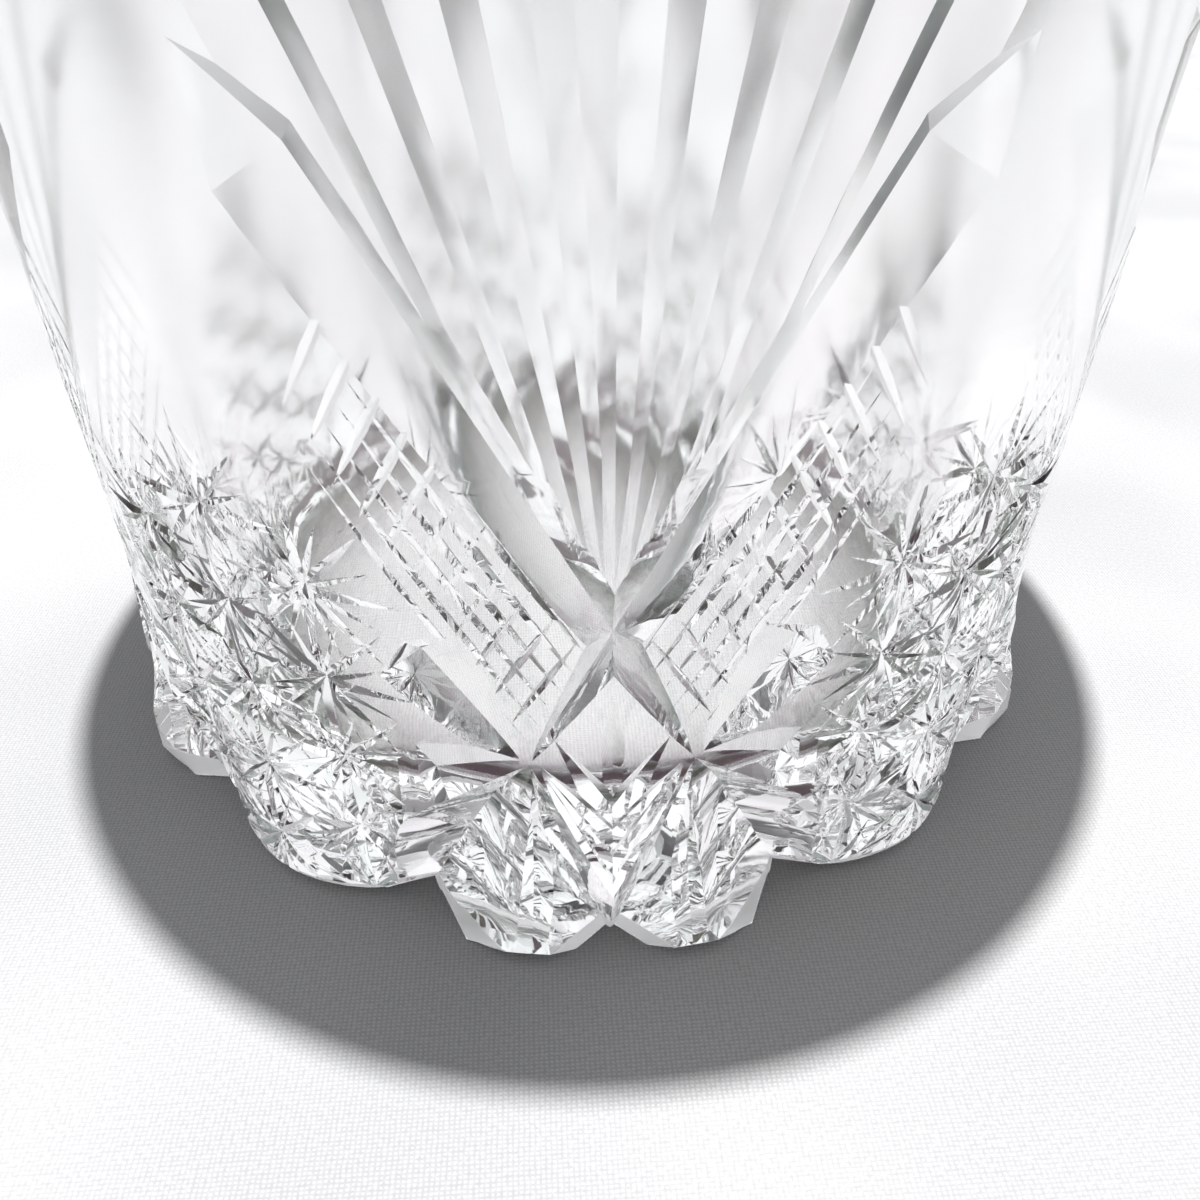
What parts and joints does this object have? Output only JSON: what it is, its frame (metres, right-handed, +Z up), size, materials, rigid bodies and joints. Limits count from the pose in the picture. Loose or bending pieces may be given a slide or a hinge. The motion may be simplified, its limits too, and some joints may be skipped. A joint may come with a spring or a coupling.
{
  "type": "cut crystal vase",
  "caption": "Tall round cut crystal vase with a lobed foot, fans of V-cut flutes and star panels round its lower body, and a plain, slightly flared open rim.",
  "frame": {"origin": "middle of the flat underside, on the vase's own axis", "axes": "+Z up along the vase's axis, -Y towards the middle of one fan"},
  "size_m": [0.1158, 0.1158, 0.25],
  "materials": {
    "clear_crystal": "polished colourless lead crystal with polished wheel cuts and a ground underside"
  },
  "bodies": {
    "root": {"crystal_body": "clear_crystal"}
  },
  "joints": []
}
